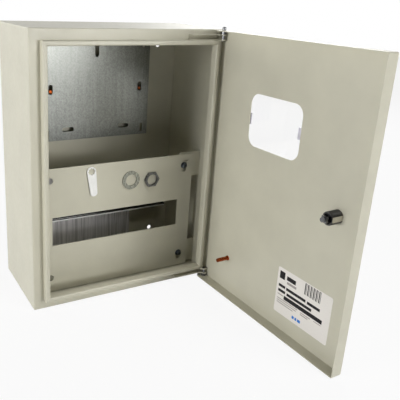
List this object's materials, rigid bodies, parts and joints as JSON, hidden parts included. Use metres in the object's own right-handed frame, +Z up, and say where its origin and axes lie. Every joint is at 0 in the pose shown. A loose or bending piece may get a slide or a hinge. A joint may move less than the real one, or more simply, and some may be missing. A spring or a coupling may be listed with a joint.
{
  "type": "electrical enclosure",
  "caption": "Sheet-steel wall enclosure with a hinged windowed door and key lock, a slotted meter plate and a module rail behind a slotted inner cover.",
  "frame": {"origin": "centre of the cabinet's bottom face", "axes": "+Z up, -Y towards the door side, +X towards the hinge side"},
  "size_m": [0.3048, 0.4403, 0.4043],
  "materials": {
    "powder_coat": "light grey powder coat, fine orange peel",
    "galvanised": "spangled zinc coating",
    "zinc": "bright zinc plating",
    "chrome": "polished chrome",
    "copper": "copper plating",
    "clear": "clear polycarbonate",
    "clip": "translucent lilac-grey plastic",
    "label": "printed paper label"
  },
  "bodies": {
    "cabinet": {"cabinet_shell": "powder_coat", "back_panel": "powder_coat", "hinge_bracket_upper": "powder_coat", "hinge_bracket_lower": "powder_coat", "cover_bracket_upper_left": "powder_coat", "cover_bracket_upper_right": "powder_coat", "cover_bracket_lower_left": "powder_coat", "cover_bracket_lower_right": "powder_coat", "inner_cover": "powder_coat", "meter_plate": "galvanised", "rail_plate": "galvanised", "din_rail": "galvanised", "hinge_pin_upper": "zinc", "hinge_pin_lower": "zinc", "rail_screws": "zinc", "rail_nuts": "zinc", "cover_screws": "zinc", "cover_washers": "zinc", "lock_cam": "zinc", "lock_washer": "zinc", "lock_nut": "chrome", "plate_studs": "copper"},
    "door": {"door_panel": "powder_coat", "window_pane": "clear", "pane_clips": "clip", "lock_barrel": "chrome", "door_earth_stud": "copper", "door_label": "label"},
    "lock_core": {"lock_plug": "zinc"}
  },
  "joints": [
    {"name": "door_hinge", "type": "hinge", "parent": "cabinet", "child": "door", "pos_m": [0.1389, -0.0818, 0.2], "axis": [0, 0, 1], "range_deg": [-91.5, 8.5]},
    {"name": "lock_turn", "type": "hinge", "parent": "door", "child": "lock_core", "pos_m": [0.15152, -0.32705, 0.2], "axis": [0.9997, 0.0262, 0], "range_deg": [0, 90]}
  ]
}
